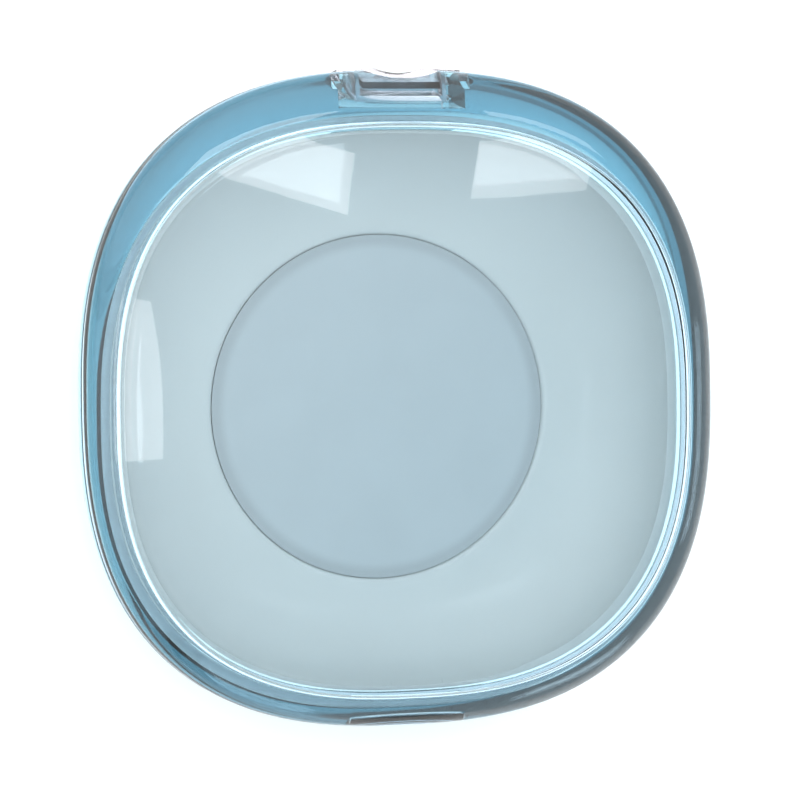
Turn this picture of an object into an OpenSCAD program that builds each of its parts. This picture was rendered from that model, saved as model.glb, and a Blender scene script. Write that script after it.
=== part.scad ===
// Pocket wet palette: a clear rounded-square case with a domed lid on a pin hinge,
// a round foam and paper in a dished mixing tray, and a push-button catch.
// X runs across the case, -Y is the front with the catch, +Y is the hinge, Z = 0 is the table.

/* [Case] */
// Width of the case over its widest line, mm
rim_width = 90; // [75:0.5:108]
// Depth of the case from the catch to the hinge, mm
rim_depth = 90; // [75:0.5:108]
// Height of the closed case, mm
total_height = 25; // [22:0.5:30]
// Height of the line where the lid meets the base, mm
parting_height = 16.5; // [14.5:0.1:19.5]
// Exponent of the rounded-square outline, 2 is a circle
squareness = 2.55; // [2.2:0.05:3.2]
// Radius of the flat underside, mm
foot_radius = 29; // [26:0.5:31]
// Thickness of the base floor, mm
base_floor = 1.6; // [1.2:0.1:2]

/* [Walls] */
// Thickness of the rim at the two sides, mm
side_wall = 4.15; // [3.6:0.05:5]
// Thickness of the rim at the front, behind the button, mm
front_wall = 7.2; // [7.2:0.1:8.5]
// Thickness of the rim at the back, mm
back_wall = 4; // [4:0.1:4.8]
// Thickness of the lid at its crown, mm
crown_wall = 1.9; // [1.4:0.1:2.4]
// Gap between the closed lid and the base, mm
parting_gap = 0.1; // [0.05:0.05:0.3]

/* [Tray] */
// Radius of the round well that holds the foam, mm
well_radius = 24; // [21:0.5:25.5]
// Height of the tray surface at the edge of the well, mm
well_edge_height = 4.9; // [4.8:0.1:6]
// Thickness of the tray floor under the foam, mm
tray_floor = 1; // [0.8:0.1:1.2]
// Width of the tray rim, mm
tray_rim = 1.2; // [1:0.1:2]
// Distance of the tray rim below the parting line, mm
tray_drop = 2.4; // [2:0.1:4]
// Gap between the tray and the base wall, mm
tray_gap = 0.3; // [0.2:0.05:0.5]
// Thickness of the wet foam, mm
foam_thickness = 1.7; // [1.4:0.1:1.9]
// Thickness of the palette paper, mm
paper_thickness = 0.25; // [0.2:0.05:0.3]
// Gap between the foam or paper and the well wall, mm
pad_gap = 0.3; // [0.2:0.05:0.6]

/* [Seal] */
// Width and height of the rebate that holds the seal ring, mm
seal_seat = 0.9; // [0.7:0.05:1]
// Gap between the seal ring and the upright wall of its rebate, mm
seal_gap = 0.05; // [0.03:0.01:0.1]

/* [Hinge] */
// Radius of the hinge pin, mm
pin_radius = 0.5; // [0.4:0.05:0.6]
// Length of the hinge pin, mm
pin_length = 24; // [20:0.5:26]
// Radius of the hinge barrels, mm
barrel_radius = 1.3; // [1.2:0.05:1.35]
// Length of the lid's hinge barrel, mm
lid_barrel_length = 16; // [10:0.5:18]
// Radial gap between the pin and the lid's bore, mm
pin_clearance = 0.05; // [0.02:0.01:0.1]
// Gap round the moving hinge barrel, mm
barrel_gap = 0.2; // [0.15:0.05:0.3]

/* [Catch] */
// Width of the slot in the front of the base, mm
slot_width = 18; // [17:0.1:22]
// Height of the slot, mm
slot_height = 7.5; // [7:0.1:8]
// Width of the hook under the lid, mm
hook_width = 11; // [9:0.5:11]
// Thickness of the hook, mm
hook_thickness = 0.8; // [0.7:0.05:0.9]
// Travel of the push button, mm
button_travel = 0.7; // [0.5:0.05:0.8]
// Distance the button stands proud of the case, mm
button_proud = 0.3; // [0.1:0.05:0.5]
// Sliding gap round the push button, mm
button_gap = 0.15; // [0.1:0.05:0.25]
// Gap left between the button's nib and the hook's lip, mm
bite_gap = 0.1; // [0.05:0.05:0.2]
// Width of the thumb scoop in the button, mm
scoop_width = 8; // [6:0.5:10]
// Width of the finger scoop in the lid, mm
lid_scoop_width = 11.4; // [9:0.2:13]
// Mean radius of the catch springs, mm
spring_radius = 0.6; // [0.4:0.05:0.65]
// Radius of the spring wire, mm
wire_radius = 0.14; // [0.1:0.01:0.16]
// Turns in each catch spring
spring_turns = 4; // [3:1:6]

/* [Hidden] */

$fn = 48;
segments = 64;
steps = 9;
tiny = 0.01;

half_w = rim_width / 2;
half_d = rim_depth / 2;

// The hollow of the case, set back from the catch
hollow_w = half_w - side_wall;
hollow_d = half_d - (front_wall + back_wall) / 2;
hollow_y = (front_wall - back_wall) / 2;
hollow_front = hollow_y - hollow_d;

edge_round = 0.3;
seal_floor = parting_height - seal_seat;
tray_top = parting_height - tray_drop;
foam_floor = base_floor + tray_floor;
paper_floor = foam_floor + foam_thickness;
bowl_radius = well_radius + 1.5;

lid_bottom = parting_height + parting_gap;
lid_rise = total_height - lid_bottom;
shoulder_height = lid_bottom + lid_rise * 0.53;
shoulder_step = 0.45;
inner_shoulder = lid_bottom + lid_rise * 0.22;

hinge_y = half_d - barrel_radius;
hinge_z = parting_height - barrel_radius - 0.3;
ears_length = 34;
// The lid's back edge swings down through this notch behind the hinge
notch_length = ears_length + 0.6;
notch_drop = 2.5;
knuckle_depth = 1.1;
lid_half_barrel = lid_barrel_length / 2;
ear_start = lid_half_barrel + barrel_gap;

// The catch, measured back from the front of the case
slot_back = hollow_front - 1.6;
slot_floor = parting_height - slot_height;
bar_thickness = 0.7;
bar_back = slot_back - button_travel - 0.1;
bar_front = bar_back - bar_thickness;
nib_reach = 0.4;
lip_tip = bar_front - nib_reach - bite_gap;
hook_front = lip_tip - nib_reach - hook_thickness;
face_back = hook_front - 0.2 - button_travel;
button_width = slot_width - 2 * button_gap;
button_floor = slot_floor + button_gap;
button_top = parting_height - 0.2;
arm_width = 0.6;
arm_inner = hook_width / 2 + 0.35;
lug_reach = 0.8;
lug_depth = 0.9;
lug_width = 0.35;
lug_floor = parting_height - 3.2;
lip_floor = slot_floor + 2;
lip_height = 1.2;
bar_floor = lip_floor + lip_height - 1;
nib_floor = lip_floor + lip_height + 0.2;
spring_x = (arm_inner + arm_width + button_width / 2 - lug_width) / 2;
spring_z = slot_floor + slot_height * 0.5;
scoop_depth = 1;
lid_scoop_depth = 1.5;

function mix(low, high, t) = low + (high - low) * t;

// One level loop of points on a rounded square of half sizes a and b
function ring(a, b, power, shift, z) = [
    for (i = [0:segments - 1])
        let (t = 360 * i / segments)
        let (r = pow(pow(abs(cos(t)) / a, power) + pow(abs(sin(t)) / b, power), -1 / power))
        [r * cos(t), r * sin(t) + shift, z]
];

// Rings of a bowl wall that starts as a circle and ends as a rounded square
function bowl(r, a, b, z_low, z_high, shift_low, shift_high, turn = 90) = [
    for (i = [0:steps])
        let (p = turn * i / steps, t = sin(p))
        ring(mix(r, a, t), mix(r, b, t), mix(2, squareness, t),
             mix(shift_low, shift_high, t), mix(z_low, z_high, 1 - cos(p)))
];

// Rings of a shallow dome from its edge up to its crown
function dome(a, b, z_edge, z_crown, shift) = [
    for (i = [0:steps - 1])
        let (t = 1 - i / steps)
        ring(a * t, mix(a, b, t) * t, mix(2, squareness, t), shift,
             mix(z_crown, z_edge, pow((t - 1 / steps) / (1 - 1 / steps), 2)))
];

// Rings of a quarter-round between an upright wall and a flatter one
function roll(a1, b1, a2, b2, z1, z2, shift1, shift2) = [
    for (i = [0:5])
        let (p = 18 * i, t = 1 - cos(p))
        ring(mix(a1, a2, t), mix(b1, b2, t), squareness, mix(shift1, shift2, t), mix(z1, z2, sin(p)))
];

function reversed(list) = [for (i = [len(list) - 1:-1:0]) list[i]];

// A closed solid through a list of rings, capped at both ends or joined into a loop
module loft(rings, looped = false) {
    n = len(rings[0]);
    m = len(rings);
    points = [for (r = rings) for (p = r) p];
    spans = looped ? m : m - 1;
    walls = [
        for (k = [0:spans - 1])
            for (i = [0:n - 1])
                let (j = (i + 1) % n, a = k * n, b = ((k + 1) % m) * n)
                for (f = [[a + i, b + i, b + j], [a + i, b + j, a + j]]) f
    ];
    caps = looped ? [] : [[for (i = [0:n - 1]) i], [for (i = [n - 1:-1:0]) (m - 1) * n + i]];
    polyhedron(points = points, faces = concat(walls, caps), convexity = 8);
}

// A round bar along X between two positions
module bar_x(x1, x2, r) {
    translate([x1, hinge_y, hinge_z])
        rotate([0, 90, 0])
            cylinder(h = x2 - x1, r = r);
}

// A block given by its two opposite corners
module block(low, high) {
    translate(low)
        cube(high - low);
}

// The outer skin of the base, optionally grown
module base_form(grow = 0) {
    loft(concat(
        bowl(foot_radius + grow, half_w + grow, half_d + grow, 0, parting_height, 0, 0),
        [ring(half_w + grow, half_d + grow, squareness, 0, parting_height + tiny)]
    ));
}

module hinge_ears() {
    intersection() {
        union() {
            bar_x(-ears_length / 2, -ear_start, barrel_radius);
            bar_x(ear_start, ears_length / 2, barrel_radius);
        }
        loft([
            ring(half_w - 0.1, half_d - 0.1, squareness, 0, hinge_z - 3),
            ring(half_w - 0.1, half_d - 0.1, squareness, 0, hinge_z + 3)
        ]);
    }
}

module hinge_recess() {
    block([-notch_length / 2, hinge_y, hinge_z - notch_drop],
          [notch_length / 2, half_d + 2, parting_height + 1]);
    block([-ear_start, hinge_y - knuckle_depth - barrel_gap, hinge_z],
          [ear_start, half_d + 2, parting_height + 1]);
    bar_x(-ear_start, ear_start, barrel_radius + barrel_gap);
}

module catch_slot() {
    block([-slot_width / 2, -half_d - 2, slot_floor], [slot_width / 2, slot_back, parting_height + 1]);
    block([-slot_width / 2 - lug_reach, face_back - tiny, lug_floor - button_gap],
          [slot_width / 2 + lug_reach, face_back + lug_depth + button_travel + 0.2, parting_height + 1]);
}

module base_shell() {
    color([0.72, 0.86, 0.94, 0.5])
    difference() {
        union() {
            difference() {
                loft(concat(
                    bowl(foot_radius, half_w, half_d, 0, parting_height - edge_round, 0, 0),
                    [ring(half_w - edge_round, half_d - edge_round, squareness, 0, parting_height),
                     ring(hollow_w + seal_seat, hollow_d + seal_seat, squareness, hollow_y,
                          parting_height),
                     ring(hollow_w + seal_seat, hollow_d + seal_seat, squareness, hollow_y,
                          seal_floor)],
                    reversed(bowl(bowl_radius, hollow_w, hollow_d, base_floor, seal_floor,
                                  hollow_y, hollow_y))
                ));
                hinge_recess();
            }
            hinge_ears();
        }
        catch_slot();
        bar_x(-pin_length / 2, ears_length / 2 + 5, pin_radius);
    }
}

module mixing_tray() {
    a = hollow_w - tray_gap;
    b = hollow_d - tray_gap;
    turn = acos(1 - (tray_top - base_floor) / (seal_floor - base_floor));
    color([0.82, 0.89, 0.92])
    loft(concat(
        bowl(bowl_radius - tray_gap, a, b, base_floor, seal_floor, hollow_y, hollow_y, turn),
        [ring(a - edge_round, b - edge_round, squareness, hollow_y, tray_top + edge_round)],
        reversed(bowl(well_radius + 0.6, a - tray_rim, b - tray_rim, well_edge_height, tray_top,
                      hollow_y, hollow_y)),
        [ring(well_radius + 0.15, well_radius + 0.15, 2, hollow_y, well_edge_height - 0.2),
         ring(well_radius, well_radius, 2, hollow_y, well_edge_height - 0.6),
         ring(well_radius, well_radius, 2, hollow_y, foam_floor)]
    ));
}

module disc(r, z, h) {
    translate([0, hollow_y, z])
        cylinder(h = h, r = r, $fn = 96);
}

module foam_pad() {
    color([0.70, 0.79, 0.83])
    disc(well_radius - pad_gap, foam_floor, foam_thickness);
}

module palette_paper() {
    color([0.78, 0.85, 0.88])
    disc(well_radius - pad_gap, paper_floor, paper_thickness);
}

module seal_ring() {
    a = hollow_w + seal_seat - seal_gap;
    b = hollow_d + seal_seat - seal_gap;
    color([0.9, 0.94, 0.96])
    loft([
        ring(hollow_w, hollow_d, squareness, hollow_y, seal_floor),
        ring(a, b, squareness, hollow_y, seal_floor),
        ring(a, b, squareness, hollow_y, parting_height),
        ring(hollow_w, hollow_d, squareness, hollow_y, parting_height)
    ], looped = true);
}

module hinge_pin() {
    color([0.75, 0.76, 0.78])
    bar_x(-pin_length / 2, pin_length / 2, pin_radius);
}

module lid_hook() {
    block([-hook_width / 2, hook_front, lip_floor],
          [hook_width / 2, hook_front + hook_thickness, lid_bottom + 0.8]);
    translate([-hook_width / 2, hook_front + hook_thickness - tiny, lip_floor])
        rotate([90, 0, 90])
            linear_extrude(hook_width)
                polygon([[0, 0], [nib_reach + tiny, lip_height * 0.6],
                         [nib_reach + tiny, lip_height], [0, lip_height]]);
}

module lid_dish() {
    shoulder_w = hollow_w - 0.1;
    shoulder_d = hollow_d - 0.1;
    ceiling_w = hollow_w - 2.6;
    ceiling_d = hollow_d - 2.6;
    ceiling = inner_shoulder + 1.6;
    loft(concat(
        reversed(dome(ceiling_w, ceiling_d, ceiling, total_height - crown_wall, hollow_y)),
        reversed(roll(hollow_w, hollow_d, ceiling_w + 0.3, ceiling_d + 0.3, inner_shoulder,
                      ceiling - 0.15, hollow_y, hollow_y)),
        [ring(hollow_w, hollow_d, squareness, hollow_y, lid_bottom),
         ring(half_w - edge_round, half_d - edge_round, squareness, 0, lid_bottom)],
        roll(half_w, half_d, shoulder_w, shoulder_d, lid_bottom + edge_round,
             shoulder_height, 0, hollow_y),
        dome(shoulder_w - shoulder_step, shoulder_d - shoulder_step,
             shoulder_height + shoulder_step * 0.8, total_height, hollow_y)
    ));
}

module lid_scoop() {
    r = (pow(lid_scoop_width / 2, 2) + pow(lid_scoop_depth, 2)) / (2 * lid_scoop_depth);
    translate([0, -half_d - r + lid_scoop_depth, lid_bottom])
        sphere(r = r);
}

module lid_shell() {
    color([0.72, 0.86, 0.94, 0.5])
    difference() {
        union() {
            difference() {
                lid_dish();
                lid_scoop();
            }
            bar_x(-lid_half_barrel, lid_half_barrel, barrel_radius);
            block([-lid_half_barrel, hinge_y - knuckle_depth, hinge_z],
                  [lid_half_barrel, hinge_y + knuckle_depth - 0.1, lid_bottom + 0.3]);
            lid_hook();
        }
        bar_x(-lid_half_barrel - 1, lid_half_barrel + 1, pin_radius + pin_clearance);
    }
}

module button_frame() {
    block([-button_width / 2, -half_d - 1, button_floor], [button_width / 2, face_back, button_top]);
    for (side = [-1, 1]) {
        x1 = min(side * arm_inner, side * (arm_inner + arm_width));
        block([x1, face_back - tiny, bar_floor], [x1 + arm_width, bar_back, button_top]);
        x2 = side < 0 ? -button_width / 2 - lug_reach : button_width / 2 - tiny;
        block([x2, face_back + 0.1, lug_floor],
              [x2 + lug_reach + tiny, face_back + 0.1 + lug_depth, button_top]);
        x3 = side < 0 ? -button_width / 2 : button_width / 2 - lug_width;
        block([x3, face_back - tiny, lug_floor],
              [x3 + lug_width, face_back + 0.1 + lug_depth, button_top]);
    }
    block([-arm_inner - tiny, bar_front, bar_floor], [arm_inner + tiny, bar_back, button_top]);
    block([-hook_width / 2, bar_front - nib_reach, nib_floor],
          [hook_width / 2, bar_front + tiny, nib_floor + 0.8]);
}

module catch_button() {
    r = (pow(scoop_width / 2, 2) + pow(scoop_depth, 2)) / (2 * scoop_depth);
    color([0.86, 0.88, 0.93, 0.6])
    difference() {
        intersection() {
            button_frame();
            base_form(button_proud);
        }
        translate([0, -half_d - button_proud - r + scoop_depth, button_top - 2.2])
            sphere(r = r);
    }
}

module catch_spring(side) {
    length = slot_back - face_back - 2 * wire_radius;
    count = spring_turns * 16;
    loft([
        for (k = [0:count])
            let (turn = 360 * spring_turns * k / count)
            [for (i = [0:7])
                let (q = 45 * i, r = spring_radius + wire_radius * cos(q))
                [side * spring_x + r * cos(turn),
                 face_back + wire_radius + length * k / count + wire_radius * sin(q),
                 spring_z + r * sin(turn)]]
    ]);
}

module catch_spring_left() {
    color([0.78, 0.79, 0.8])
    catch_spring(-1);
}

module catch_spring_right() {
    color([0.78, 0.79, 0.8])
    catch_spring(1);
}

base_shell();
mixing_tray();
foam_pad();
palette_paper();
seal_ring();
hinge_pin();
lid_shell();
catch_button();
catch_spring_left();
catch_spring_right();
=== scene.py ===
"""Looks for a pocket wet palette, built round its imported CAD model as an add-on script."""

import math

import bmesh
import bpy
from mathutils import Matrix, Vector


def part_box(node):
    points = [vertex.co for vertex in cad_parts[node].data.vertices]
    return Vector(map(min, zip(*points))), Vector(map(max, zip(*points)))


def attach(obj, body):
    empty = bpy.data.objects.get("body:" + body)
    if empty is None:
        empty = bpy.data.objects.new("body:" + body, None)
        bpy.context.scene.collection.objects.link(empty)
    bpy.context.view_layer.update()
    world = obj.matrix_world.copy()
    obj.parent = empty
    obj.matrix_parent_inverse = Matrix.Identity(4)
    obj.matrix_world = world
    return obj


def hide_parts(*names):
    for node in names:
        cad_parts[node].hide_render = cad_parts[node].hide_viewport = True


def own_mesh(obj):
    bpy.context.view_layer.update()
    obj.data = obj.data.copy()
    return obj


bl_info = {
    "name": "Pocket Wet Palette",
    "version": (1, 0, 0),
    "blender": (4, 5, 0),
    "location": "View3D > Sidebar > Palette",
    "description": "Builds a clear hinged wet palette with its tray, foam, paper and catch",
    "category": "Object",
}

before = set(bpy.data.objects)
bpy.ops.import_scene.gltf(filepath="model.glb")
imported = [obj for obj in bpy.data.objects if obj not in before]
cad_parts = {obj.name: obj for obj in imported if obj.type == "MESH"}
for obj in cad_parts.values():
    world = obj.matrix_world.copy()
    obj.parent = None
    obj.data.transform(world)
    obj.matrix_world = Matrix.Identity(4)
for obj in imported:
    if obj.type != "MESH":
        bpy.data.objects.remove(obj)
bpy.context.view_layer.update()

MM = 0.001
RING_POINTS = 256
BOWL_STEPS = 30
ROLL_STEPS = 14
WIRE_SIDES = 12
TURN = 2 * math.pi

LID_LOW, LID_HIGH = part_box("lid_shell")
SEAL_LOW, SEAL_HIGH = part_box("seal_ring")
TRAY_LOW, TRAY_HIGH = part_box("mixing_tray")
FOAM_LOW, FOAM_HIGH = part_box("foam_pad")
PAPER_LOW, PAPER_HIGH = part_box("palette_paper")
PIN_LOW, PIN_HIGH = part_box("hinge_pin")
BUTTON_LOW, BUTTON_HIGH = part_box("catch_button")


# ---------------------------------------------------------------- settings


class CaseSizes(bpy.types.PropertyGroup):
    squareness: bpy.props.FloatProperty(
        name="Squareness", description="Exponent of the rounded-square outline", default=2.55
    )
    foot_radius: bpy.props.FloatProperty(
        name="Foot radius", description="Radius of the flat underside", default=29 * MM,
        unit="LENGTH", precision=5,
    )
    base_floor: bpy.props.FloatProperty(
        name="Base floor", description="Thickness of the base under the tray",
        default=TRAY_LOW.z, unit="LENGTH", precision=5,
    )
    crown_wall: bpy.props.FloatProperty(
        name="Crown wall", description="Thickness of the lid at its crown", default=1.9 * MM,
        unit="LENGTH", precision=5,
    )
    shoulder_rise: bpy.props.FloatProperty(
        name="Shoulder rise", description="Height of the lid's shoulder over its lower edge",
        default=4.45 * MM, unit="LENGTH", precision=5,
    )
    edge_round: bpy.props.FloatProperty(
        name="Edge rounding", description="Radius of the small moulded edges", default=0.3 * MM,
        unit="LENGTH", precision=5,
    )
    well_edge: bpy.props.FloatProperty(
        name="Well edge", description="Height of the tray surface at the edge of the well",
        default=4.9 * MM, unit="LENGTH", precision=5,
    )
    tray_rim: bpy.props.FloatProperty(
        name="Tray rim", description="Width of the tray's rim", default=1.2 * MM,
        unit="LENGTH", precision=5,
    )


class CaseColours(bpy.types.PropertyGroup):
    base_tint: bpy.props.StringProperty(
        name="Base tint", description="Colour that light takes on in the base", default="#72DAEB"
    )
    base_density: bpy.props.FloatProperty(
        name="Base density", description="How fast the base takes up light, per metre",
        default=90.0,
    )
    lid_tint: bpy.props.StringProperty(
        name="Lid tint", description="Colour that light takes on in the lid", default="#45CBEE"
    )
    lid_density: bpy.props.FloatProperty(
        name="Lid density", description="How fast the lid takes up light, per metre",
        default=68.0,
    )
    button_skin: bpy.props.StringProperty(
        name="Button", description="Colour of the push button", default="#F7F1F5"
    )
    tray: bpy.props.StringProperty(
        name="Tray", description="Colour of the mixing tray", default="#E6E8E5"
    )
    paper: bpy.props.StringProperty(
        name="Paper", description="Colour of the damp palette paper", default="#D2D8DA"
    )
    foam: bpy.props.StringProperty(
        name="Foam", description="Colour of the wet foam", default="#A9BBC2"
    )
    seal: bpy.props.StringProperty(
        name="Seal", description="Colour of the silicone seal", default="#E9F0F2"
    )
    steel: bpy.props.StringProperty(
        name="Steel", description="Colour of the stainless steel", default="#C9CBCD"
    )
    floor: bpy.props.StringProperty(
        name="Floor", description="Colour of the plain floor", default="#F4F5F5"
    )


def sizes():
    return bpy.context.scene.palette_sizes


def colours():
    return bpy.context.scene.palette_colours


# ---------------------------------------------------------------- colour and nodes


def linear(hex_code, alpha=1.0):
    """Turns an sRGB hex colour into the linear colour that shaders use."""
    values = [int(hex_code[i : i + 2], 16) / 255 for i in (1, 3, 5)]
    return tuple(v / 12.92 if v <= 0.04045 else ((v + 0.055) / 1.055) ** 2.4 for v in values) + (alpha,)


def add_node(tree, kind, settings=None, inputs=None):
    """Adds a node, sets its settings, and sets or links its inputs."""
    node = tree.nodes.new(kind)
    for key, value in (settings or {}).items():
        setattr(node, key, value)
    for key, value in (inputs or {}).items():
        if isinstance(value, bpy.types.NodeSocket):
            tree.links.new(value, node.inputs[key])
        else:
            node.inputs[key].default_value = value
    return node


def new_material(name):
    material = bpy.data.materials.new(name)
    material.use_nodes = True
    material.node_tree.nodes.clear()
    return material, material.node_tree


def object_pattern(tree, kind, wave, settings=None, inputs=None):
    """A texture on Object coordinates whose features are one wave length across."""
    place = add_node(tree, "ShaderNodeTexCoord")
    values = {"Vector": place.outputs["Object"], "Scale": 1 / wave}
    values.update(inputs or {})
    return add_node(tree, kind, settings, values)


def spread(tree, value, low, high):
    """Maps a texture's 0 to 1 onto a range."""
    node = add_node(tree, "ShaderNodeMapRange", None, {"Value": value, "To Min": low, "To Max": high})
    return node.outputs["Result"]


def tinted(tree, value, dark, light):
    """A colour that runs from dark to light with a texture."""
    ramp = add_node(tree, "ShaderNodeValToRGB", None, {"Fac": value})
    ramp.color_ramp.elements[0].position = 0.3
    ramp.color_ramp.elements[0].color = dark
    ramp.color_ramp.elements[1].position = 0.7
    ramp.color_ramp.elements[1].color = light
    return ramp.outputs["Color"]


def finish_material(tree, shader, volume=None):
    output = add_node(tree, "ShaderNodeOutputMaterial", None, {"Surface": shader})
    if volume is not None:
        tree.links.new(volume, output.inputs["Volume"])


def shade(colour, factor):
    return tuple(c * factor for c in colour[:3]) + (1.0,)


def clear_styrene(name, tint, density):
    """Polished clear styrene with a light blue dye, injection moulded.

    The dye shows only where light travels far in it, so faces look nearly clear and the rim deep
    blue. Slow flow marks 14 mm across bend its reflections a little."""
    material, tree = new_material(name)
    flow = object_pattern(tree, "ShaderNodeTexNoise", 14 * MM, None, {"Detail": 1.0})
    wipe = object_pattern(tree, "ShaderNodeTexNoise", 5 * MM, None, {"Detail": 3.0})
    bump = add_node(
        tree, "ShaderNodeBump", None,
        {"Height": flow.outputs["Fac"], "Strength": 0.06, "Distance": 0.4 * MM},
    )
    shader = add_node(
        tree, "ShaderNodeBsdfPrincipled", None,
        {
            "Base Color": linear("#FCFEFF"),
            "Roughness": spread(tree, wipe.outputs["Fac"], 0.005, 0.035),
            "IOR": 1.55,
            "Transmission Weight": 1.0,
            "Normal": bump.outputs["Normal"],
        },
    )
    dye = add_node(
        tree, "ShaderNodeVolumeAbsorption", None,
        {"Color": linear(tint), "Density": density},
    )
    finish_material(tree, shader.outputs["BSDF"], dye.outputs["Volume"])
    return material


def clear_acrylic():
    """Nearly colourless acrylic, moulded and left as it came from the tool.

    It gives the button a slightly pink, glassy look against the blue case."""
    material, tree = new_material("clear_acrylic")
    ripple = object_pattern(tree, "ShaderNodeTexNoise", 3 * MM, None, {"Detail": 2.0})
    bump = add_node(
        tree, "ShaderNodeBump", None,
        {"Height": ripple.outputs["Fac"], "Strength": 0.08, "Distance": 0.2 * MM},
    )
    shader = add_node(
        tree, "ShaderNodeBsdfPrincipled", None,
        {
            "Base Color": linear(colours().button_skin),
            "Roughness": spread(tree, ripple.outputs["Fac"], 0.02, 0.08),
            "IOR": 1.49,
            "Transmission Weight": 0.92,
            "Normal": bump.outputs["Normal"],
        },
    )
    finish_material(tree, shader.outputs["BSDF"])
    return material


def tray_styrene():
    """High-impact styrene, white with a breath of blue, moulded with a satin gloss.

    Its gloss breaks up on fine tool marks 0.6 mm apart, and its colour drifts slightly."""
    material, tree = new_material("tray_styrene")
    drift = object_pattern(tree, "ShaderNodeTexNoise", 18 * MM, None, {"Detail": 2.0})
    marks = object_pattern(tree, "ShaderNodeTexNoise", 0.6 * MM, None, {"Detail": 4.0})
    base = linear(colours().tray)
    bump = add_node(
        tree, "ShaderNodeBump", None,
        {"Height": marks.outputs["Fac"], "Strength": 0.05, "Distance": 0.05 * MM},
    )
    shader = add_node(
        tree, "ShaderNodeBsdfPrincipled", None,
        {
            "Base Color": tinted(tree, drift.outputs["Fac"], shade(base, 0.96), base),
            "Roughness": spread(tree, marks.outputs["Fac"], 0.24, 0.36),
            "IOR": 1.57,
            "Coat Weight": 0.2,
            "Coat Roughness": 0.12,
            "Normal": bump.outputs["Normal"],
        },
    )
    finish_material(tree, shader.outputs["BSDF"])
    return material


def damp_paper():
    """Parchment-like palette paper lying damp on its foam.

    Water fills its fibres, so it is darker than dry paper, faintly mottled, and has a soft sheen
    over cockles about 9 mm across. Its fibres are 0.25 mm, drawn at 0.5 mm so that they show."""
    material, tree = new_material("damp_paper")
    mottle = object_pattern(tree, "ShaderNodeTexNoise", 7 * MM, None, {"Detail": 5.0})
    fibre = object_pattern(
        tree, "ShaderNodeTexNoise", 0.5 * MM, None, {"Detail": 6.0, "Distortion": 1.2}
    )
    cockle = object_pattern(tree, "ShaderNodeTexNoise", 9 * MM, None, {"Detail": 1.0})
    base = linear(colours().paper)
    # Painted shade: the paper is darkened towards its rim, down to 0.8 of its colour, standing in for
    # the shade that the well's edge casts on it.
    centre = CasePlan()
    place = add_node(tree, "ShaderNodeTexCoord")
    flat = add_node(tree, "ShaderNodeMapping", None, {
        "Vector": place.outputs["Object"], "Location": (0, -centre.hollow_y, 0), "Scale": (1, 1, 0),
    })
    reach = add_node(tree, "ShaderNodeVectorMath", {"operation": "LENGTH"},
                     {0: flat.outputs["Vector"]})
    edge_shade_mask = add_node(tree, "ShaderNodeMapRange", {"interpolation_type": "SMOOTHERSTEP"}, {
        "Value": reach.outputs["Value"],
        "From Min": centre.well_radius - 2.6 * MM, "From Max": centre.well_radius - 0.4 * MM,
    })
    # The paper's own mottled colour in the middle, with painted shade at its rim.
    damp = add_node(tree, "ShaderNodeMix", {"data_type": "RGBA"}, {
        0: edge_shade_mask.outputs["Result"],
        6: tinted(tree, mottle.outputs["Fac"], shade(base, 0.96), base),
        7: shade(base, 0.8),
    })
    slow = add_node(
        tree, "ShaderNodeBump", None,
        {"Height": cockle.outputs["Fac"], "Strength": 0.12, "Distance": 0.5 * MM},
    )
    fine = add_node(
        tree, "ShaderNodeBump", None,
        {"Height": fibre.outputs["Fac"], "Strength": 0.18, "Distance": 0.05 * MM,
         "Normal": slow.outputs["Normal"]},
    )
    shader = add_node(
        tree, "ShaderNodeBsdfPrincipled", None,
        {
            "Base Color": damp.outputs[2],
            "Roughness": spread(tree, fibre.outputs["Fac"], 0.34, 0.52),
            "IOR": 1.4,
            "Normal": fine.outputs["Normal"],
        },
    )
    finish_material(tree, shader.outputs["BSDF"])
    return material


def wet_foam():
    """Open-cell cellulose foam full of water, with pores about 0.8 mm across whose shade is painted
    into its colour.
    """
    material, tree = new_material("wet_foam")
    pores = object_pattern(tree, "ShaderNodeTexVoronoi", 0.8 * MM, None, {"Randomness": 1.0})
    base = linear(colours().foam)
    bump = add_node(
        tree, "ShaderNodeBump", None,
        {"Height": pores.outputs["Distance"], "Strength": 0.7, "Distance": 0.3 * MM},
    )
    # Painted shade: the colour falls to 0.6 of the foam's own colour with the pore pattern, standing in
    # for the shade in the pores.
    shader = add_node(
        tree, "ShaderNodeBsdfPrincipled", None,
        {
            "Base Color": tinted(tree, pores.outputs["Distance"], base, shade(base, 0.6)),
            "Roughness": spread(tree, pores.outputs["Distance"], 0.45, 0.8),
            "IOR": 1.36,
            "Normal": bump.outputs["Normal"],
        },
    )
    finish_material(tree, shader.outputs["BSDF"])
    return material


def silicone_rubber():
    """Translucent silicone, moulded: soft and milky, with a dusty satin face."""
    material, tree = new_material("silicone_rubber")
    dust = object_pattern(tree, "ShaderNodeTexNoise", 1.2 * MM, None, {"Detail": 4.0})
    base = linear(colours().seal)
    bump = add_node(
        tree, "ShaderNodeBump", None,
        {"Height": dust.outputs["Fac"], "Strength": 0.1, "Distance": 0.05 * MM},
    )
    shader = add_node(
        tree, "ShaderNodeBsdfPrincipled", None,
        {
            "Base Color": tinted(tree, dust.outputs["Fac"], shade(base, 0.93), base),
            "Roughness": spread(tree, dust.outputs["Fac"], 0.35, 0.5),
            "IOR": 1.41,
            "Transmission Weight": 0.45,
            "Normal": bump.outputs["Normal"],
        },
    )
    finish_material(tree, shader.outputs["BSDF"])
    return material


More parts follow.
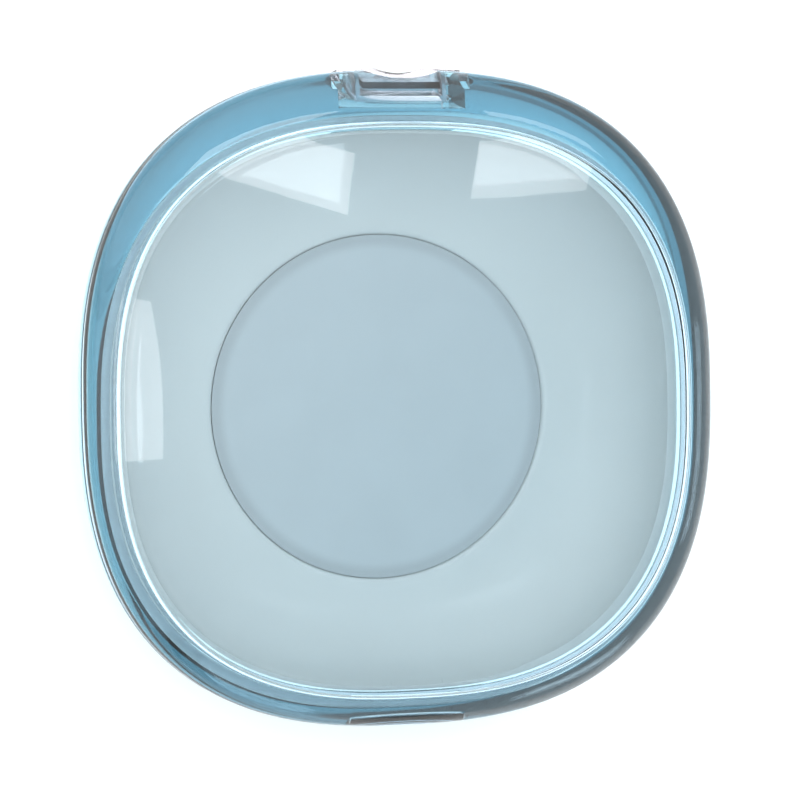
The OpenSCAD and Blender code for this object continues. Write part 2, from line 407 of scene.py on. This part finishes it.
def drawn_steel():
    """Stainless spring wire, drawn through a die: bright, with fine rings 0.1 mm apart."""
    material, tree = new_material("drawn_steel")
    lines = object_pattern(tree, "ShaderNodeTexNoise", 0.3 * MM, None, {"Detail": 3.0})
    base = linear(colours().steel)
    bump = add_node(
        tree, "ShaderNodeBump", None,
        {"Height": lines.outputs["Fac"], "Strength": 0.15, "Distance": 0.02 * MM},
    )
    shader = add_node(
        tree, "ShaderNodeBsdfPrincipled", None,
        {
            "Base Color": tinted(tree, lines.outputs["Fac"], shade(base, 0.85), base),
            "Metallic": 1.0,
            "Roughness": spread(tree, lines.outputs["Fac"], 0.2, 0.34),
            "Normal": bump.outputs["Normal"],
        },
    )
    finish_material(tree, shader.outputs["BSDF"])
    return material


# ---------------------------------------------------------------- shaping


def mix(low, high, t):
    return low + (high - low) * t


def ring(a, b, power, shift, z):
    """A level loop of points on a rounded square of half sizes a and b, centred on y = shift."""
    points = []
    for i in range(RING_POINTS):
        t = TURN * i / RING_POINTS
        c, s = math.cos(t), math.sin(t)
        r = ((abs(c) / a) ** power + (abs(s) / b) ** power) ** (-1 / power)
        points.append((r * c, r * s + shift, z))
    return points


def bowl(r, a, b, z_low, z_high, shift_low, shift_high, turn=math.pi / 2, steps=BOWL_STEPS):
    """Rings of a bowl wall that starts as a circle and ends as a rounded square."""
    rings = []
    for i in range(steps + 1):
        p = turn * i / steps
        t = math.sin(p)
        rings.append(
            ring(mix(r, a, t), mix(r, b, t), mix(2, sizes().squareness, t),
                 mix(shift_low, shift_high, t), mix(z_low, z_high, 1 - math.cos(p)))
        )
    return rings


def dome(a, b, z_edge, z_crown, shift, steps=BOWL_STEPS):
    """Rings of a shallow dome from its edge to just short of its crown."""
    rings = []
    for i in range(steps):
        t = 1 - i / steps
        rings.append(
            ring(a * t, mix(a, b, t) * t, mix(2, sizes().squareness, t), shift,
                 mix(z_crown, z_edge, t * t))
        )
    return rings


def roll(start, end, z_start, z_end, shift_start, shift_end, steps=ROLL_STEPS):
    """Rings of a quarter-round between an upright wall and a flatter one."""
    rings = []
    for i in range(steps + 1):
        p = math.pi / 2 * i / steps
        t = 1 - math.cos(p)
        rings.append(
            ring(mix(start[0], end[0], t), mix(start[1], end[1], t), sizes().squareness,
                 mix(shift_start, shift_end, t), mix(z_start, z_end, math.sin(p)))
        )
    return rings


def clear_selection():
    if bpy.context.object and bpy.context.object.mode != "OBJECT":
        bpy.ops.object.mode_set(mode="OBJECT")
    bpy.ops.object.select_all(action="DESELECT")


def choose(obj):
    """Makes one object the selected and active one."""
    clear_selection()
    obj.select_set(True)
    bpy.context.view_layer.objects.active = obj
    return obj


def place_points(mesh, layer, points):
    """Moves the selected loop of an open edit mesh onto a list of points."""
    for vert in mesh.verts:
        if vert.select:
            vert.co = points[vert[layer]]


def shape_rings(name, rings, looped=False, poles=(False, False)):
    """Draws a circle, then extrudes it ring by ring into a closed shell."""
    clear_selection()
    bpy.ops.mesh.primitive_circle_add(vertices=RING_POINTS, radius=1, fill_type="NOTHING")
    obj = bpy.context.object
    obj.name = name
    obj.data.name = name
    bpy.ops.object.mode_set(mode="EDIT")
    mesh = bmesh.from_edit_mesh(obj.data)
    layer = mesh.verts.layers.int.new("place")
    for i, vert in enumerate(mesh.verts):
        vert[layer] = i
    place_points(mesh, layer, rings[0])
    bmesh.update_edit_mesh(obj.data)
    course = rings[1:] + ([rings[0]] if looped else [])
    for points in course:
        bpy.ops.mesh.extrude_edges_indiv()
        mesh = bmesh.from_edit_mesh(obj.data)
        place_points(mesh, mesh.verts.layers.int["place"], points)
        bmesh.update_edit_mesh(obj.data)
    if not looped:
        close_end(obj, poles[1])
        select_ring(obj, rings[0])
        close_end(obj, poles[0])
    bpy.ops.mesh.select_all(action="SELECT")
    bpy.ops.mesh.remove_doubles(threshold=1e-7)
    bpy.ops.mesh.normals_make_consistent(inside=False)
    bpy.ops.object.mode_set(mode="OBJECT")
    return obj


def select_ring(obj, points):
    """Selects the open edges of an edit mesh that lie on one ring."""
    bpy.ops.mesh.select_all(action="DESELECT")
    mesh = bmesh.from_edit_mesh(obj.data)
    layer = mesh.verts.layers.int["place"]
    for vert in mesh.verts:
        on_ring = (vert.co - Vector(points[vert[layer]])).length < 1e-7
        vert.select = on_ring and vert.is_boundary
    mesh.select_flush(True)
    bmesh.update_edit_mesh(obj.data)


def close_end(obj, pole):
    """Fills the selected loop, with a fan to its centre for a pole on a curved face."""
    bpy.ops.mesh.edge_face_add()
    if pole:
        bpy.ops.mesh.poke()


def apply_boolean(obj, tool, operation):
    """Cuts or joins one solid with another and removes the tool."""
    choose(obj)
    modifier = obj.modifiers.new("cut", "BOOLEAN")
    modifier.operation = operation
    modifier.solver = "EXACT"
    modifier.object = tool
    bpy.ops.object.modifier_apply(modifier="cut")
    bpy.data.objects.remove(tool)


def add_block(low, high):
    """A box between two corners, for cutting or joining."""
    low, high = Vector(low), Vector(high)
    clear_selection()
    bpy.ops.mesh.primitive_cube_add(size=1, location=(low + high) / 2)
    obj = bpy.context.object
    obj.scale = high - low
    bpy.ops.object.transform_apply(location=True, rotation=True, scale=True)
    return obj


def add_bar(x_low, x_high, radius, sides=64):
    """A round bar along X on the hinge line."""
    centre = (PIN_LOW + PIN_HIGH) / 2
    clear_selection()
    bpy.ops.mesh.primitive_cylinder_add(
        vertices=sides, radius=radius, depth=x_high - x_low,
        location=((x_low + x_high) / 2, centre.y, centre.z), rotation=(0, math.pi / 2, 0),
    )
    obj = bpy.context.object
    bpy.ops.object.transform_apply(location=True, rotation=True, scale=True)
    return obj


def add_ball(centre, radius):
    clear_selection()
    bpy.ops.mesh.primitive_uv_sphere_add(segments=96, ring_count=64, radius=radius, location=centre)
    obj = bpy.context.object
    bpy.ops.object.transform_apply(location=True, rotation=True, scale=True)
    return obj


def round_edges(obj, width, segments=3, angle=35):
    choose(obj)
    modifier = obj.modifiers.new("edges", "BEVEL")
    modifier.width = width
    modifier.segments = segments
    modifier.limit_method = "ANGLE"
    modifier.angle_limit = math.radians(angle)
    modifier.use_clamp_overlap = True
    bpy.ops.object.modifier_apply(modifier="edges")


def complete(obj, name, body, node, material, angle=35):
    """Names a finished piece, smooths it, and ties it to its CAD node and body."""
    choose(obj)
    obj.name = name
    obj.data.name = name
    bpy.ops.object.shade_smooth_by_angle(angle=math.radians(angle))
    obj.data.materials.clear()
    obj.data.materials.append(material)
    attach(obj, body)
    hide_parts(node)
    return obj


# ---------------------------------------------------------------- sizes read from the CAD model


class CasePlan:
    """Lengths that several pieces share, worked out from the CAD boxes."""

    def __init__(self):
        self.half_w = LID_HIGH.x
        self.half_d = self.half_w
        self.seal_seat = SEAL_HIGH.z - SEAL_LOW.z
        self.parting = SEAL_HIGH.z
        self.seal_floor = SEAL_LOW.z
        self.seal_gap = 0.05 * MM
        self.cut_skin = 0.02 * MM
        self.hollow_y = (SEAL_HIGH.y + SEAL_LOW.y) / 2
        self.hollow_w = SEAL_HIGH.x + self.seal_gap - self.seal_seat
        self.hollow_d = (SEAL_HIGH.y - SEAL_LOW.y) / 2 + self.seal_gap - self.seal_seat
        self.lid_gap = 0.1 * MM
        self.lid_bottom = self.parting + self.lid_gap
        self.crown = LID_HIGH.z
        self.tray_gap = 0.3 * MM
        self.well_radius = FOAM_HIGH.x + 0.3 * MM
        self.bowl_radius = self.well_radius + 1.5 * MM
        self.pin_radius = (PIN_HIGH.z - PIN_LOW.z) / 2
        self.barrel_radius = 1.3 * MM
        self.barrel_gap = 0.2 * MM
        self.lid_barrel = 8 * MM
        self.ears_end = 17 * MM
        self.knuckle_depth = 1.1 * MM
        self.notch_gap = 0.3 * MM
        self.notch_drop = 2.5 * MM
        self.hinge = (PIN_LOW + PIN_HIGH) / 2


# ---------------------------------------------------------------- pieces


class PALETTE_OT_base_shell(bpy.types.Operator):
    """Model the clear base with its seal rebate, catch slot and hinge ears"""

    bl_idname = "palette.base_shell"
    bl_label = "Base shell"

    def execute(self, context):
        plan = CasePlan()
        s = sizes()
        r = s.edge_round
        outer = bowl(s.foot_radius, plan.half_w, plan.half_d, 0, plan.parting - r, 0, 0)
        lip = [
            ring(plan.half_w - r * (1 - math.cos(p)), plan.half_d - r * (1 - math.cos(p)),
                 s.squareness, 0, plan.parting - r + r * math.sin(p))
            for p in (math.pi / 8, math.pi / 4, math.pi * 3 / 8, math.pi / 2)
        ]
        seat_w, seat_d = plan.hollow_w + plan.seal_seat, plan.hollow_d + plan.seal_seat
        seat = [
            ring(seat_w, seat_d, s.squareness, plan.hollow_y, plan.parting),
            ring(seat_w, seat_d, s.squareness, plan.hollow_y, plan.seal_floor - plan.cut_skin),
        ]
        inner = bowl(plan.bowl_radius, plan.hollow_w, plan.hollow_d, s.base_floor - 2 * plan.cut_skin,
                     plan.seal_floor - plan.cut_skin, plan.hollow_y, plan.hollow_y)
        base = shape_rings("base_shell_clear", outer + lip + seat + inner[::-1])

        gap_end = plan.lid_barrel + plan.barrel_gap
        notch = plan.ears_end + plan.notch_gap
        behind, above = plan.half_d + 2 * MM, plan.parting + 1 * MM
        apply_boolean(base, add_block((-notch, plan.hinge.y, plan.hinge.z - plan.notch_drop),
                                      (notch, behind, above)), "DIFFERENCE")
        knuckle_front = plan.hinge.y - plan.knuckle_depth - plan.barrel_gap
        apply_boolean(base, add_block((-gap_end, knuckle_front, plan.hinge.z),
                                      (gap_end, behind, above)), "DIFFERENCE")
        apply_boolean(base, add_bar(-gap_end, gap_end, plan.barrel_radius + plan.barrel_gap),
                      "DIFFERENCE")
        ear_inset = 0.12 * MM
        clip_reach = 3 * MM
        for side in (-1, 1):
            low, high = sorted((side * gap_end, side * plan.ears_end))
            ear = add_bar(low, high, plan.barrel_radius - 0.01 * MM)
            clip = shape_rings("clip", [
                ring(plan.half_w - ear_inset, plan.half_d - ear_inset, s.squareness, 0,
                     plan.hinge.z + rise)
                for rise in (-clip_reach, clip_reach)
            ])
            apply_boolean(ear, clip, "INTERSECT")
            apply_boolean(base, ear, "UNION")
        button_room, button_gap = 0.8 * MM, 0.15 * MM
        slot_back = BUTTON_HIGH.y + button_room
        slot_half = 9 * MM
        slot_floor = BUTTON_LOW.z - button_gap
        apply_boolean(base, add_block((-slot_half, -plan.half_d - 2 * MM, slot_floor),
                                      (slot_half, slot_back, above)), "DIFFERENCE")
        lug_low = plan.parting - 3.35 * MM
        lug_half = slot_half + 0.8 * MM
        lug_front, lug_back = -43.51 * MM, -41.7 * MM
        apply_boolean(base, add_block((-lug_half, lug_front, lug_low),
                                      (lug_half, lug_back, above)), "DIFFERENCE")
        pin_entry = 22 * MM
        apply_boolean(base, add_bar(PIN_LOW.x, pin_entry, plan.pin_radius + plan.cut_skin, 32),
                      "DIFFERENCE")
        complete(base, "base_shell_clear", "base", "base_shell",
                 clear_styrene("base_styrene", colours().base_tint, colours().base_density))
        return {"FINISHED"}


class PALETTE_OT_lid_shell(bpy.types.Operator):
    """Model the clear domed lid with its shoulder, hinge knuckle, hook and finger scoop"""

    bl_idname = "palette.lid_shell"
    bl_label = "Lid shell"

    def execute(self, context):
        plan = CasePlan()
        s = sizes()
        r = s.edge_round
        y = plan.hollow_y
        rise = plan.crown - plan.lid_bottom
        shoulder_share = 0.22
        inner_shoulder = plan.lid_bottom + rise * shoulder_share
        ceiling = inner_shoulder + 1.6 * MM
        ceiling_inset = 2.6 * MM
        ceiling_w, ceiling_d = plan.hollow_w - ceiling_inset, plan.hollow_d - ceiling_inset
        inside = dome(ceiling_w, ceiling_d, ceiling, plan.crown - s.crown_wall, y)[::-1]
        inside += roll((plan.hollow_w, plan.hollow_d),
                       (ceiling_w + 0.3 * MM, ceiling_d + 0.3 * MM),
                       inner_shoulder, ceiling - 0.05 * MM, y, y)[::-1]
        edge = [ring(plan.hollow_w, plan.hollow_d, s.squareness, y, plan.lid_bottom)]
        edge += [
            ring(plan.half_w - r * (1 - math.sin(p)), plan.half_d - r * (1 - math.sin(p)),
                 s.squareness, 0, plan.lid_bottom + r * (1 - math.cos(p)))
            for p in (0, math.pi / 8, math.pi / 4, math.pi * 3 / 8)
        ]
        shoulder = plan.lid_bottom + s.shoulder_rise
        shoulder_w, shoulder_d = plan.hollow_w - 0.1 * MM, plan.hollow_d - 0.1 * MM
        outside = roll((plan.half_w, plan.half_d), (shoulder_w, shoulder_d),
                       plan.lid_bottom + r, shoulder, 0, y)
        for inset, lift in ((0.12, 0.03), (0.24, 0.12), (0.34, 0.24)):
            outside.append(ring(shoulder_w - inset * MM, shoulder_d - inset * MM, s.squareness, y,
                                shoulder + lift * MM))
        outside += dome(shoulder_w - 0.45 * MM, shoulder_d - 0.45 * MM, shoulder + 0.36 * MM,
                        plan.crown, y)
        lid = shape_rings("lid_shell_clear", inside + edge + outside, poles=(True, True))

        scoop_width, scoop_depth = 11.4 * MM, 1.5 * MM
        scoop = ((scoop_width / 2) ** 2 + scoop_depth**2) / (2 * scoop_depth)
        apply_boolean(lid, add_ball((0, -plan.half_d - scoop + scoop_depth, plan.lid_bottom), scoop),
                      "DIFFERENCE")
        knuckle = add_bar(-plan.lid_barrel, plan.lid_barrel, plan.barrel_radius)
        web = add_block((-plan.lid_barrel, plan.hinge.y - plan.knuckle_depth, plan.hinge.z),
                        (plan.lid_barrel, plan.hinge.y + 1.0 * MM, plan.lid_bottom + 0.3 * MM))
        apply_boolean(knuckle, web, "UNION")
        apply_boolean(lid, knuckle, "UNION")
        hook_front, hook_back = -42.6 * MM, -41.8 * MM
        hook_half, hook_root = 5.5 * MM, plan.lid_bottom + 0.8 * MM
        hook = add_block((-hook_half, hook_front, LID_LOW.z), (hook_half, hook_back, hook_root))
        apply_boolean(lid, hook, "UNION")
        lip = add_block((-hook_half, hook_back - 0.1 * MM, LID_LOW.z + 0.5 * MM),
                        (hook_half, hook_back + 0.4 * MM, LID_LOW.z + 1.2 * MM))
        apply_boolean(lid, lip, "UNION")
        apply_boolean(lid, add_bar(-plan.lid_barrel - 1 * MM, plan.lid_barrel + 1 * MM,
                                   plan.pin_radius + 0.05 * MM, 32), "DIFFERENCE")
        complete(lid, "lid_shell_clear", "lid", "lid_shell",
                 clear_styrene("lid_styrene", colours().lid_tint, colours().lid_density))
        return {"FINISHED"}


class PALETTE_OT_mixing_tray(bpy.types.Operator):
    """Model the dished mixing tray with its round well"""

    bl_idname = "palette.mixing_tray"
    bl_label = "Mixing tray"

    def execute(self, context):
        plan = CasePlan()
        s = sizes()
        y = plan.hollow_y
        r = s.edge_round
        a, b = plan.hollow_w - plan.tray_gap, plan.hollow_d - plan.tray_gap
        top = TRAY_HIGH.z
        body_top = top - r
        turn = math.acos(1 - (body_top - s.base_floor) / (plan.seal_floor - s.base_floor))
        outer = bowl(plan.bowl_radius - plan.tray_gap, a, b, s.base_floor, plan.seal_floor, y, y, turn)
        rim = []
        for p in (math.pi / 6, math.pi / 3, math.pi / 2):
            inset = r * (1 - math.cos(p))
            rim.append(ring(a - inset, b - inset, s.squareness, y, body_top + r * math.sin(p)))
        dish = bowl(plan.well_radius + 0.8 * MM, a - s.tray_rim, b - s.tray_rim, s.well_edge,
                    top, y, y)[::-1]
        well = []
        for p in (0.25, 0.5, 0.75, 1.0):
            angle = math.pi / 2 * p
            radius = plan.well_radius + 0.8 * MM * (1 - math.sin(angle))
            well.append(ring(radius, radius, 2, y, s.well_edge - 0.7 * MM * (1 - math.cos(angle))))
        floor = FOAM_LOW.z - plan.cut_skin
        well.append(ring(plan.well_radius, plan.well_radius, 2, y, floor + 0.3 * MM))
        well.append(ring(plan.well_radius - 0.3 * MM, plan.well_radius - 0.3 * MM, 2, y, floor))
        tray = shape_rings("mixing_tray_dish", outer + rim + dish + well)
        complete(tray, "mixing_tray_dish", "base", "mixing_tray", tray_styrene())
        return {"FINISHED"}


class PALETTE_OT_foam_and_paper(bpy.types.Operator):
    """Model the wet foam pad and the damp paper that lies on it"""

    bl_idname = "palette.foam_and_paper"
    bl_label = "Foam and paper"

    def execute(self, context):
        plan = CasePlan()
        y = plan.hollow_y
        radius = FOAM_HIGH.x
        low, high = FOAM_LOW.z, FOAM_HIGH.z
        soft = 0.45 * MM
        rings = [ring(radius - soft, radius - soft, 2, y, low)]
        for p in (math.pi / 6, math.pi / 3, math.pi / 2):
            r = radius - soft + soft * math.sin(p)
            rings.append(ring(r, r, 2, y, low + soft * (1 - math.cos(p))))
        for p in (math.pi / 2, math.pi / 3, math.pi / 6, 0):
            r = radius - soft + soft * math.sin(p)
            rings.append(ring(r, r, 2, y, high - 0.02 * MM - soft * (1 - math.cos(p))))
        foam = shape_rings("foam_pad_wet", rings)
        complete(foam, "foam_pad_wet", "base", "foam_pad", wet_foam())

        paper_radius = plan.well_radius - 0.06 * MM
        low, high = PAPER_LOW.z, PAPER_HIGH.z
        rings = []
        for part in (0.2, 0.4, 0.6, 0.8, 0.94, 0.985):
            r = paper_radius * part
            rings.append(self.cockled(r, y, low, 0))
        rings.append(ring(paper_radius, paper_radius, 2, y, low + 0.04 * MM))
        rings.append(ring(paper_radius, paper_radius, 2, y, high - 0.04 * MM))
        for part in (0.985, 0.94, 0.8, 0.6, 0.4, 0.2):
            r = paper_radius * part
            rings.append(self.cockled(r, y, high, -0.05 * MM))
        paper = shape_rings("palette_paper_damp", rings, poles=(True, True))
        complete(paper, "palette_paper_damp", "base", "palette_paper", damp_paper())
        return {"FINISHED"}

    def cockled(self, radius, shift, z, depth):
        """A ring of the paper's face, dipping here and there where it has cockled."""
        points = ring(radius, radius, 2, shift, z)
        return [
            (px, py, pz + depth * (0.5 + 0.5 * math.sin(px * 410 + 1.3) * math.sin(py * 370 + 0.4)))
            for px, py, pz in points
        ]


class PALETTE_OT_seal_ring(bpy.types.Operator):
    """Model the silicone seal ring with its softly rounded section"""

    bl_idname = "palette.seal_ring"
    bl_label = "Seal ring"

    def execute(self, context):
        plan = CasePlan()
        width = plan.seal_seat - plan.seal_gap
        middle_w = plan.hollow_w + width / 2
        middle_d = plan.hollow_d + width / 2
        half = width / 2
        height = (SEAL_HIGH.z - SEAL_LOW.z) / 2
        centre = (SEAL_HIGH.z + SEAL_LOW.z) / 2
        rings = []
        section_points = 16
        for i in range(section_points):
            p = TURN * i / section_points
            across = half * math.copysign(abs(math.cos(p)) ** 0.6, math.cos(p))
            up = (height - 0.01 * MM) * math.copysign(abs(math.sin(p)) ** 0.6, math.sin(p))
            rings.append(ring(middle_w + across, middle_d + across, sizes().squareness,
                              plan.hollow_y, centre + up))
        seal = shape_rings("seal_ring_silicone", rings, looped=True)
        complete(seal, "seal_ring_silicone", "base", "seal_ring", silicone_rubber(), 60)
        return {"FINISHED"}


class PALETTE_OT_hinge_pin(bpy.types.Operator):
    """Model the hinge pin with its rounded ends"""

    bl_idname = "palette.hinge_pin"
    bl_label = "Hinge pin"

    def execute(self, context):
        plan = CasePlan()
        pin = add_bar(PIN_LOW.x, PIN_HIGH.x, plan.pin_radius, 48)
        round_edges(pin, 0.15 * MM, 4)
        complete(pin, "hinge_pin_steel", "base", "hinge_pin",
                 bpy.data.materials.get("drawn_steel") or drawn_steel())
        return {"FINISHED"}


class PALETTE_OT_catch_button(bpy.types.Operator):
    """Model the push button from its CAD node, with soft moulded edges"""

    bl_idname = "palette.catch_button"
    bl_label = "Catch button"

    def execute(self, context):
        button = bpy.data.objects.new("catch_button_clear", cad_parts["catch_button"].data.copy())
        bpy.context.scene.collection.objects.link(button)
        choose(button)
        bpy.ops.object.mode_set(mode="EDIT")
        bpy.ops.mesh.select_all(action="SELECT")
        bpy.ops.mesh.remove_doubles(threshold=1e-6)
        bpy.ops.mesh.dissolve_limited(angle_limit=math.radians(1))
        bpy.ops.object.mode_set(mode="OBJECT")
        round_edges(button, 0.1 * MM, 2, 40)
        complete(button, "catch_button_clear", "button", "catch_button",
                 clear_acrylic())
        return {"FINISHED"}


class PALETTE_OT_catch_springs(bpy.types.Operator):
    """Model the two coil springs behind the button"""

    bl_idname = "palette.catch_springs"
    bl_label = "Catch springs"

    def execute(self, context):
        wire = 0.14 * MM
        turns = 4
        steps_a_turn = 28
        for side, node in ((-1, "catch_spring_left"), (1, "catch_spring_right")):
            low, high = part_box(node)
            centre = (low + high) / 2
            coil = (high.x - low.x) / 2 - wire
            clear_selection()
            bpy.ops.mesh.primitive_circle_add(
                vertices=WIRE_SIDES, radius=wire, location=(centre.x + coil, low.y + wire, centre.z)
            )
            spring = bpy.context.object
            bpy.ops.object.transform_apply(location=True, rotation=True, scale=True)
            bpy.ops.object.mode_set(mode="EDIT")
            bpy.ops.mesh.select_all(action="SELECT")
            bpy.ops.mesh.spin(
                steps=turns * steps_a_turn, angle=TURN * turns, center=centre, axis=(0, 1, 0),
            )
            mesh = bmesh.from_edit_mesh(spring.data)
            length = high.y - low.y - 2 * wire
            self.stretch(mesh, length)
            bmesh.update_edit_mesh(spring.data)
            bpy.ops.mesh.select_all(action="DESELECT")
            bpy.ops.mesh.select_non_manifold(extend=False, use_boundary=True, use_wire=False,
                                             use_multi_face=False, use_non_contiguous=False,
                                             use_verts=False)
            bpy.ops.mesh.edge_face_add()
            bpy.ops.mesh.select_all(action="SELECT")
            bpy.ops.mesh.normals_make_consistent(inside=False)
            bpy.ops.object.mode_set(mode="OBJECT")
            complete(spring, node + "_steel", "base", node,
                     bpy.data.materials.get("drawn_steel") or drawn_steel(), 60)
            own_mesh(spring)
        return {"FINISHED"}

    def stretch(self, mesh, length):
        """Draws the flat winding out into a coil, in the order in which it was spun."""
        mesh.verts.ensure_lookup_table()
        count = len(mesh.verts) // WIRE_SIDES
        for k in range(count):
            lift = length * k / (count - 1)
            for i in range(WIRE_SIDES):
                mesh.verts[k * WIRE_SIDES + i].co.y += lift


# ---------------------------------------------------------------- stage


def aim(location, target, roll_angle=0.0):
    """A matrix that looks from one point at another, with the front of the case upwards."""
    ahead = (target - location).normalized()
    right = ahead.cross(Vector((0, -1, 0))).normalized()
    up = right.cross(ahead)
    turned = Matrix.Rotation(-roll_angle, 3, ahead)
    right, up = turned @ right, turned @ up
    rotation = Matrix((right, up, -ahead)).transposed()
    return Matrix.Translation(location) @ rotation.to_4x4()


class PALETTE_OT_stage(bpy.types.Operator):
    """Set the floor, lamps, world and camera"""

    bl_idname = "palette.stage"
    bl_label = "Stage"

    def execute(self, context):
        self.floor()
        self.lamps()
        self.world()
        self.camera()
        return {"FINISHED"}

    def floor(self):
        clear_selection()
        bpy.ops.mesh.primitive_plane_add(size=8, location=(0, 0, -0.02 * MM))
        plane = bpy.context.object
        plane.name = "floor"
        material, tree = new_material("floor_paper")
        grain = object_pattern(tree, "ShaderNodeTexNoise", 30 * MM, None, {"Detail": 2.0})
        base = linear(colours().floor)
        paper = add_node(
            tree, "ShaderNodeBsdfDiffuse", None,
            {"Color": tinted(tree, grain.outputs["Fac"], shade(base, 0.99), base)},
        )
        path = add_node(tree, "ShaderNodeLightPath")
        plain = add_node(tree, "ShaderNodeMath", {"operation": "MAXIMUM"},
                         {0: path.outputs["Is Camera Ray"], 1: path.outputs["Is Glossy Ray"]})
        direct = add_node(tree, "ShaderNodeMath", {"operation": "MULTIPLY"},
                          {0: plain.outputs["Value"], 1: 0.22})
        strength = add_node(tree, "ShaderNodeMath", {"operation": "MULTIPLY_ADD"},
                            {0: path.outputs["Is Transmission Ray"], 1: 0.32,
                             2: direct.outputs["Value"]})
        glow = add_node(tree, "ShaderNodeEmission", None,
                        {"Color": (1, 1, 1, 1), "Strength": strength.outputs["Value"]})
        both = add_node(tree, "ShaderNodeAddShader")
        tree.links.new(paper.outputs["BSDF"], both.inputs[0])
        tree.links.new(glow.outputs["Emission"], both.inputs[1])
        finish_material(tree, both.outputs["Shader"])
        plane.data.materials.append(material)

    def lamp(self, name, location, width, depth, radiance, turn=0.0):
        """A flat lamp that faces the palette and shows that radiance in its reflection."""
        clear_selection()
        bpy.ops.object.light_add(type="AREA", location=location)
        lamp = bpy.context.object
        lamp.name = name
        lamp.data.shape = "RECTANGLE"
        lamp.data.size = width
        lamp.data.size_y = depth
        lamp.data.energy = radiance * math.pi * width * depth
        lamp.matrix_world = aim(Vector(location), Vector((0, 0, 0.02)), turn)
        return lamp

    def lamps(self):
        self.lamp("window_front", (-0.095, -0.365, 1.0), 0.30, 0.12, 4.0, math.radians(-14))
        self.lamp("window_far", (-0.50, -0.36, 1.0), 0.20, 0.11, 3.4, math.radians(-10))
        self.lamp("window_side", (0.155, 0.0, 1.0), 0.10, 0.17, 3.6)

    def world(self):
        world = bpy.data.worlds.new("room")
        bpy.context.scene.world = world
        world.use_nodes = True
        tree = world.node_tree
        tree.nodes.clear()
        place = add_node(tree, "ShaderNodeTexCoord")
        bright_side = Vector((0.45, -0.70, 0.45)).normalized()
        facing = add_node(tree, "ShaderNodeVectorMath", {"operation": "DOT_PRODUCT"},
                          {0: place.outputs["Generated"], 1: tuple(bright_side)})
        ramp = add_node(tree, "ShaderNodeValToRGB", None, {"Fac": facing.outputs["Value"]})
        ramp.color_ramp.interpolation = "EASE"
        ramp.color_ramp.elements[0].position = 0.0
        ramp.color_ramp.elements[0].color = (0.88, 1.02, 1.10, 1)
        ramp.color_ramp.elements[1].position = 1.0
        ramp.color_ramp.elements[1].color = (2.1, 2.05, 2.0, 1)
        path = add_node(tree, "ShaderNodeLightPath")
        room = add_node(tree, "ShaderNodeBackground", None,
                        {"Color": ramp.outputs["Color"], "Strength": 1.0})
        white = add_node(tree, "ShaderNodeBackground", None,
                         {"Color": (1, 1, 1, 1), "Strength": 1.0})
        blend = add_node(tree, "ShaderNodeMixShader", None, {"Fac": path.outputs["Is Camera Ray"]})
        tree.links.new(room.outputs["Background"], blend.inputs[1])
        tree.links.new(white.outputs["Background"], blend.inputs[2])
        add_node(tree, "ShaderNodeOutputWorld", None, {"Surface": blend.outputs["Shader"]})

    def camera(self):
        target = Vector((0, 0, 0.012))
        side, front = math.radians(17.0), math.radians(2.5)
        away = Vector((math.sin(side), -math.sin(front), 0))
        away.z = math.sqrt(1 - away.length_squared)
        distance = 0.55
        bpy.ops.object.camera_add()
        camera = bpy.context.object
        camera.name = "camera"
        place = aim(target + away * distance, target, math.radians(-0.6))
        slide = place.to_3x3() @ Vector((1.04 * MM, -0.42 * MM, 0))
        camera.matrix_world = Matrix.Translation(slide) @ place
        camera.data.sensor_width = 36
        camera.data.lens = 178.65
        camera.data.clip_start = 0.01
        camera.data.clip_end = 20
        scene = bpy.context.scene
        scene.camera = camera
        scene.view_settings.view_transform = "Standard"


# ---------------------------------------------------------------- panel


PIECES = (
    PALETTE_OT_base_shell,
    PALETTE_OT_mixing_tray,
    PALETTE_OT_foam_and_paper,
    PALETTE_OT_seal_ring,
    PALETTE_OT_hinge_pin,
    PALETTE_OT_catch_springs,
    PALETTE_OT_catch_button,
    PALETTE_OT_lid_shell,
)


class PALETTE_PT_panel(bpy.types.Panel):
    bl_label = "Pocket wet palette"
    bl_idname = "PALETTE_PT_panel"
    bl_space_type = "VIEW_3D"
    bl_region_type = "UI"
    bl_category = "Palette"

    def draw(self, context):
        layout = self.layout
        for piece in PIECES + (PALETTE_OT_stage,):
            layout.operator(piece.bl_idname)
        for group in (context.scene.palette_sizes, context.scene.palette_colours):
            for name in group.__annotations__:
                layout.prop(group, name)


CLASSES = (CaseSizes, CaseColours) + PIECES + (PALETTE_OT_stage, PALETTE_PT_panel)


def register():
    for item in CLASSES:
        bpy.utils.register_class(item)
    bpy.types.Scene.palette_sizes = bpy.props.PointerProperty(type=CaseSizes)
    bpy.types.Scene.palette_colours = bpy.props.PointerProperty(type=CaseColours)


def unregister():
    del bpy.types.Scene.palette_colours
    del bpy.types.Scene.palette_sizes
    for item in reversed(CLASSES):
        bpy.utils.unregister_class(item)


def main():
    register()
    for piece in PIECES + (PALETTE_OT_stage,):
        group, name = piece.bl_idname.split(".")
        getattr(getattr(bpy.ops, group), name)()
    clear_selection()


if __name__ == "__main__":
    main()
